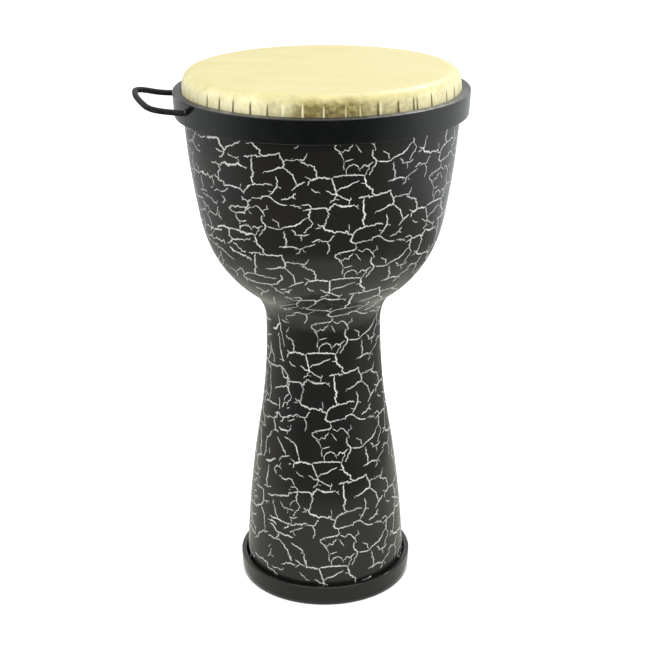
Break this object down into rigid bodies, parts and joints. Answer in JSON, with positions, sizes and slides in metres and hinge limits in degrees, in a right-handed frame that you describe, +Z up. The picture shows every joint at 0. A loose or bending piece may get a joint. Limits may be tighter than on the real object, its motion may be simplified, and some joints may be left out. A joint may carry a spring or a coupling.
{
  "type": "djembe",
  "caption": "Goblet-shaped hand drum with a factory-tensioned skin head, a moulded collar and foot ring, an open stem and a cord carry loop.",
  "frame": {"origin": "centre of the foot ring's underside, on the surface that the drum stands on", "axes": "+Z up along the drum's axis to the head; -X towards the carry loop's side, with the loop's middle 9 degrees from -X towards -Y; +X and +Y complete the right-handed frame"},
  "size_m": [0.3056, 0.269, 0.508],
  "materials": {
    "shell_gloss": "black gloss lacquer over a printed off-white crackle",
    "ring_plastic": "moulded black, matt",
    "skin": "cream hide, faintly mottled, satin",
    "hoop_steel": "drawn steel rod",
    "collar_plastic": "satin black moulding",
    "foot_rubber": "satin black moulding",
    "eyelet_metal": "darkened nickel, half gloss",
    "cord": "braided black cord"
  },
  "bodies": {
    "drum": {"shell": "shell_gloss", "bearing_ring": "ring_plastic", "drumhead": "skin", "flesh_hoop": "hoop_steel", "collar": "collar_plastic", "foot_ring": "foot_rubber", "front_eyelet": "eyelet_metal", "rear_eyelet": "eyelet_metal", "front_knot": "cord", "rear_knot": "cord"},
    "loop": {"carry_loop": "cord"}
  },
  "joints": [
    {"name": "loop_hinge", "type": "hinge", "parent": "drum", "child": "loop", "pos_m": [-0.12881, -0.0204, 0.4811], "axis": [-0.1564, 0.9877, 0], "range_deg": [-80, 65], "stiffness_Nm_per_rad": 0.02}
  ]
}
